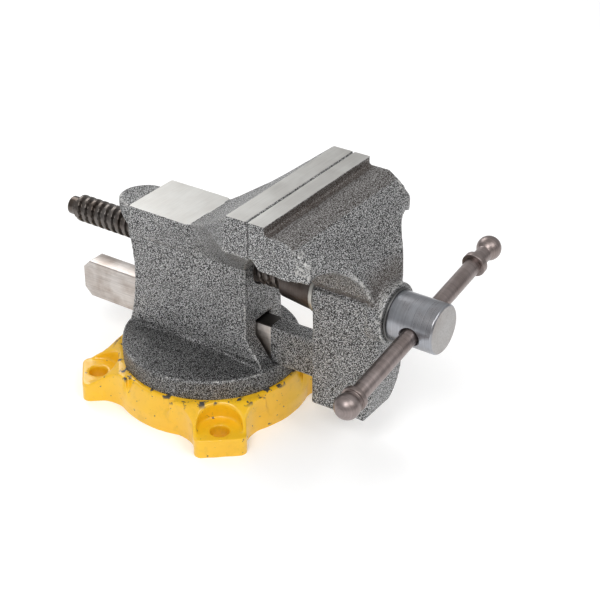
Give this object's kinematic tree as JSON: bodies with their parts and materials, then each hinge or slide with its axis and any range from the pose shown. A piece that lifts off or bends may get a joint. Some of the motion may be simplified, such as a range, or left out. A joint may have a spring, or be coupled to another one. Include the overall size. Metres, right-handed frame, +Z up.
{
  "type": "bench vise",
  "caption": "Cast bench vise on a round swivel base: fixed jaw with anvil, sliding front jaw on a flat bar, lead screw and tommy-bar handle.",
  "frame": {"origin": "the swivel axis at the bench surface, which is the centre of the circle of bench bolt holes", "axes": "+Z up, away from the bench; the screw and the slide bar run along Y with the handle at -Y; +X is to the right of a person standing at the handle"},
  "size_m": [0.1597, 0.2541, 0.1475],
  "materials": {
    "hammered_paint": "gloss",
    "base_paint": "gloss",
    "head_steel": "satin",
    "screw_steel": "satin",
    "handle_steel": "satin",
    "nut_iron": "matte",
    "plain_fasteners": "satin"
  },
  "bodies": {
    "base": {"swivel_base": "base_paint", "swivel_clamp_plate": "plain_fasteners"},
    "rear_body": {"fixed_body": "hammered_paint", "spindle_nut": "nut_iron", "nut_screw": "plain_fasteners", "swivel_bolt": "plain_fasteners", "swivel_lock_washer": "plain_fasteners"},
    "front_jaw": {"moving_jaw": "hammered_paint", "head_washer": "plain_fasteners", "rear_washer": "plain_fasteners"},
    "screw": {"lead_screw": "head_steel", "thrust_collar": "head_steel", "collar_pin": "plain_fasteners"},
    "handle": {"handle_bar": "handle_steel", "handle_knob_left": "handle_steel", "handle_knob_right": "handle_steel"}
  },
  "joints": [
    {"name": "swivel", "type": "hinge", "parent": "base", "child": "rear_body", "pos_m": [0, 0, 0.0216], "axis": [0, 0, 1], "continuous": true},
    {"name": "jaw_slide", "type": "slide", "parent": "rear_body", "child": "front_jaw", "axis": [0, -1, 0], "range_m": [0, 0.0762]},
    {"name": "screw_spin", "type": "hinge", "parent": "front_jaw", "child": "screw", "pos_m": [0, -0.1, 0.0885], "axis": [0, -1, 0], "range_deg": [0, 5401]},
    {"name": "handle_slide", "type": "slide", "parent": "screw", "child": "handle", "axis": [0.9876, 0, 0.1573], "range_m": [-0.041, 0.051]}
  ],
  "couplings": [
    {"joint": "screw_spin", "follows": "jaw_slide", "rad_per_m": 1236.8}
  ]
}
